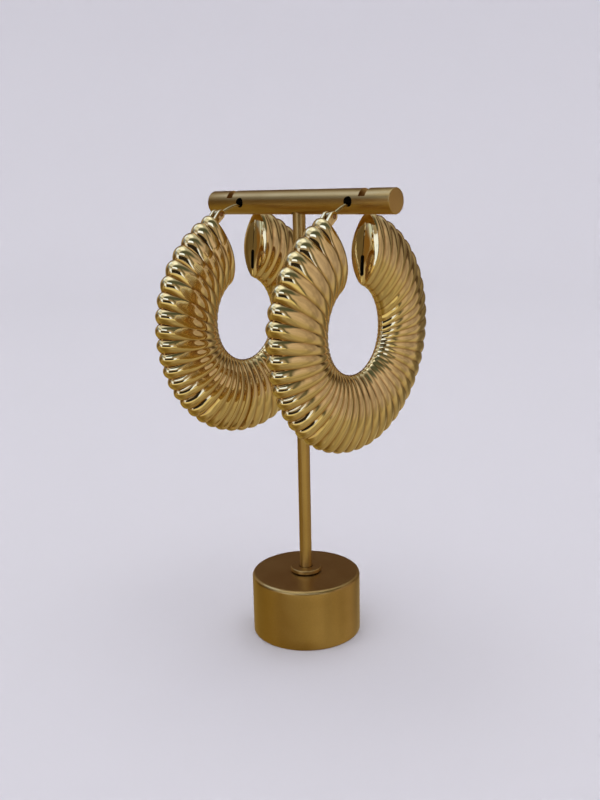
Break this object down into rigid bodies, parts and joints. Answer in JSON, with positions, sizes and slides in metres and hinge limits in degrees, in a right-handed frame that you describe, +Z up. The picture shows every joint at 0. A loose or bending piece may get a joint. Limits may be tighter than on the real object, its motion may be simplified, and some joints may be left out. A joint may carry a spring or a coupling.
{
  "type": "pair of ribbed hoop earrings on a t-bar display stand",
  "caption": "Big puffed gold hoop earrings with fine radial ribs, hinged to ear wires that hang in the bored cross bar of a satin gold display stand on a round base.",
  "frame": {"origin": "middle of the round base's underside", "axes": "+X along the cross bar, +Y to the back, -Y to the front where the hoops are hinged, +Z up"},
  "size_m": [0.06, 0.0627, 0.1194],
  "materials": {
    "satin_gold": "satin gold plate over steel",
    "polished_gold": "polished gold plate over brass"
  },
  "bodies": {
    "stand": {"base": "satin_gold", "collar": "satin_gold", "post": "satin_gold", "cross_bar": "satin_gold", "ear_wire_left": "polished_gold", "ear_wire_right": "polished_gold"},
    "left_hoop": {"hoop_left": "polished_gold", "hinge_pin_left": "polished_gold"},
    "right_hoop": {"hoop_right": "polished_gold", "hinge_pin_right": "polished_gold"}
  },
  "joints": [
    {"name": "left_hinge", "type": "hinge", "parent": "stand", "child": "left_hoop", "pos_m": [-0.018, -0.0111, 0.11356], "axis": [1, 0, 0], "range_deg": [-40, 2]},
    {"name": "right_hinge", "type": "hinge", "parent": "stand", "child": "right_hoop", "pos_m": [0.018, -0.0098, 0.11306], "axis": [1, 0, 0], "range_deg": [-40, 2]}
  ]
}
